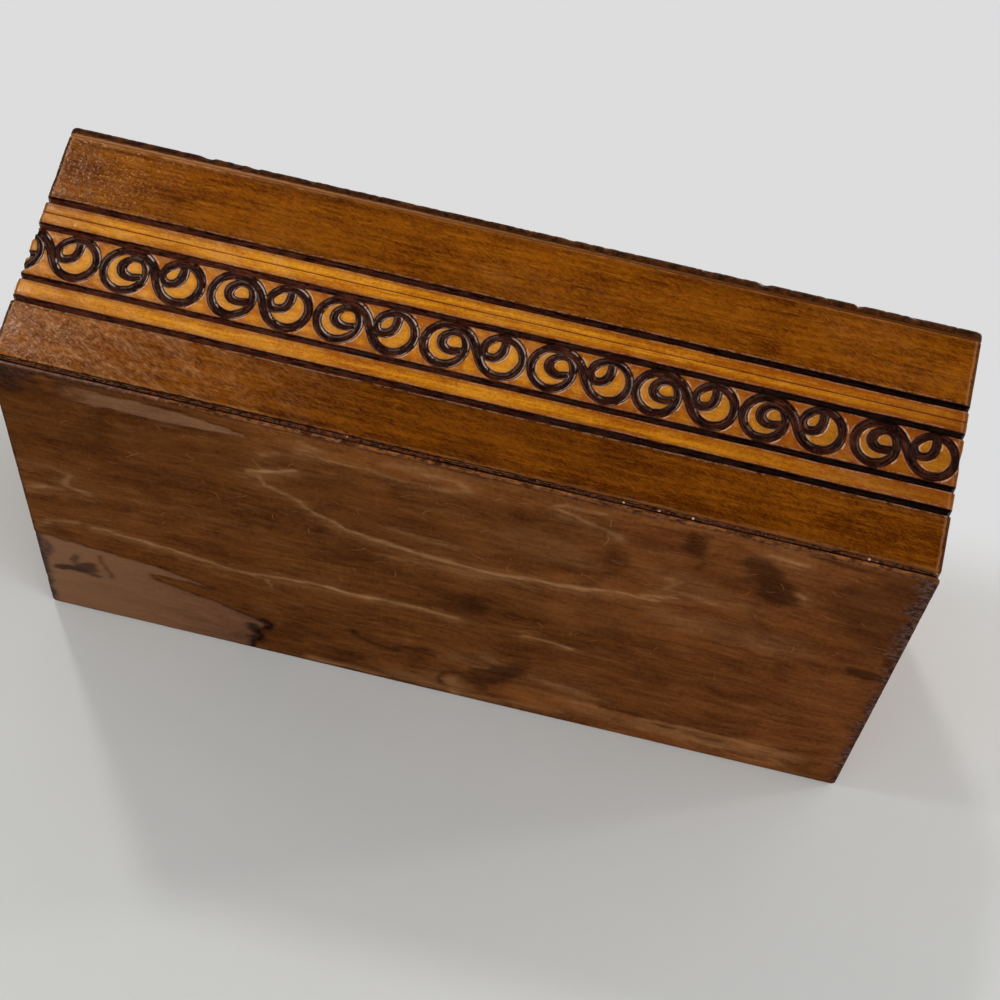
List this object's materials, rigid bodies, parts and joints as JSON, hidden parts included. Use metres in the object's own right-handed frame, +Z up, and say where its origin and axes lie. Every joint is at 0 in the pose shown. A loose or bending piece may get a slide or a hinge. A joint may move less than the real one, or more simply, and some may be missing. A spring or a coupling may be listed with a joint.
{
  "type": "wooden trinket box",
  "caption": "Low rectangular wooden box with a hinged lid, burnt grooves and a band of engraved S-scrolls round its stained walls.",
  "frame": {"origin": "middle of the footprint, on the surface the box stands on", "axes": "+X along the front, the carved front wall faces -Y, +Z up"},
  "size_m": [0.2, 0.128, 0.0596],
  "materials": {
    "wall_wood": "glossy lacquer over brown stain, with light bands and burnt grooves",
    "board_wood": "thin lacquer over dark stain",
    "panel_wood": "glossy lacquer over brown stain, with light bands and burnt lines",
    "hinge_brass": "dull, slightly tarnished",
    "pin_steel": "plain wire"
  },
  "bodies": {
    "base": {"bottom_board": "board_wood", "front_wall": "wall_wood", "back_wall": "wall_wood", "left_wall": "wall_wood", "right_wall": "wall_wood", "base_leaf_left": "hinge_brass", "base_leaf_right": "hinge_brass", "hinge_pin_left": "pin_steel", "hinge_pin_right": "pin_steel", "base_hinge_screws": "hinge_brass"},
    "lid": {"lid_panel": "panel_wood", "lid_front_rail": "wall_wood", "lid_back_rail": "wall_wood", "lid_left_rail": "wall_wood", "lid_right_rail": "wall_wood", "lid_leaf_left": "hinge_brass", "lid_leaf_right": "hinge_brass", "lid_hinge_screws": "hinge_brass"}
  },
  "joints": [
    {"name": "lid_hinge", "type": "hinge", "parent": "base", "child": "lid", "pos_m": [0, 0.0625, 0.0374], "axis": [-1, 0, 0], "range_deg": [0, 100]}
  ]
}
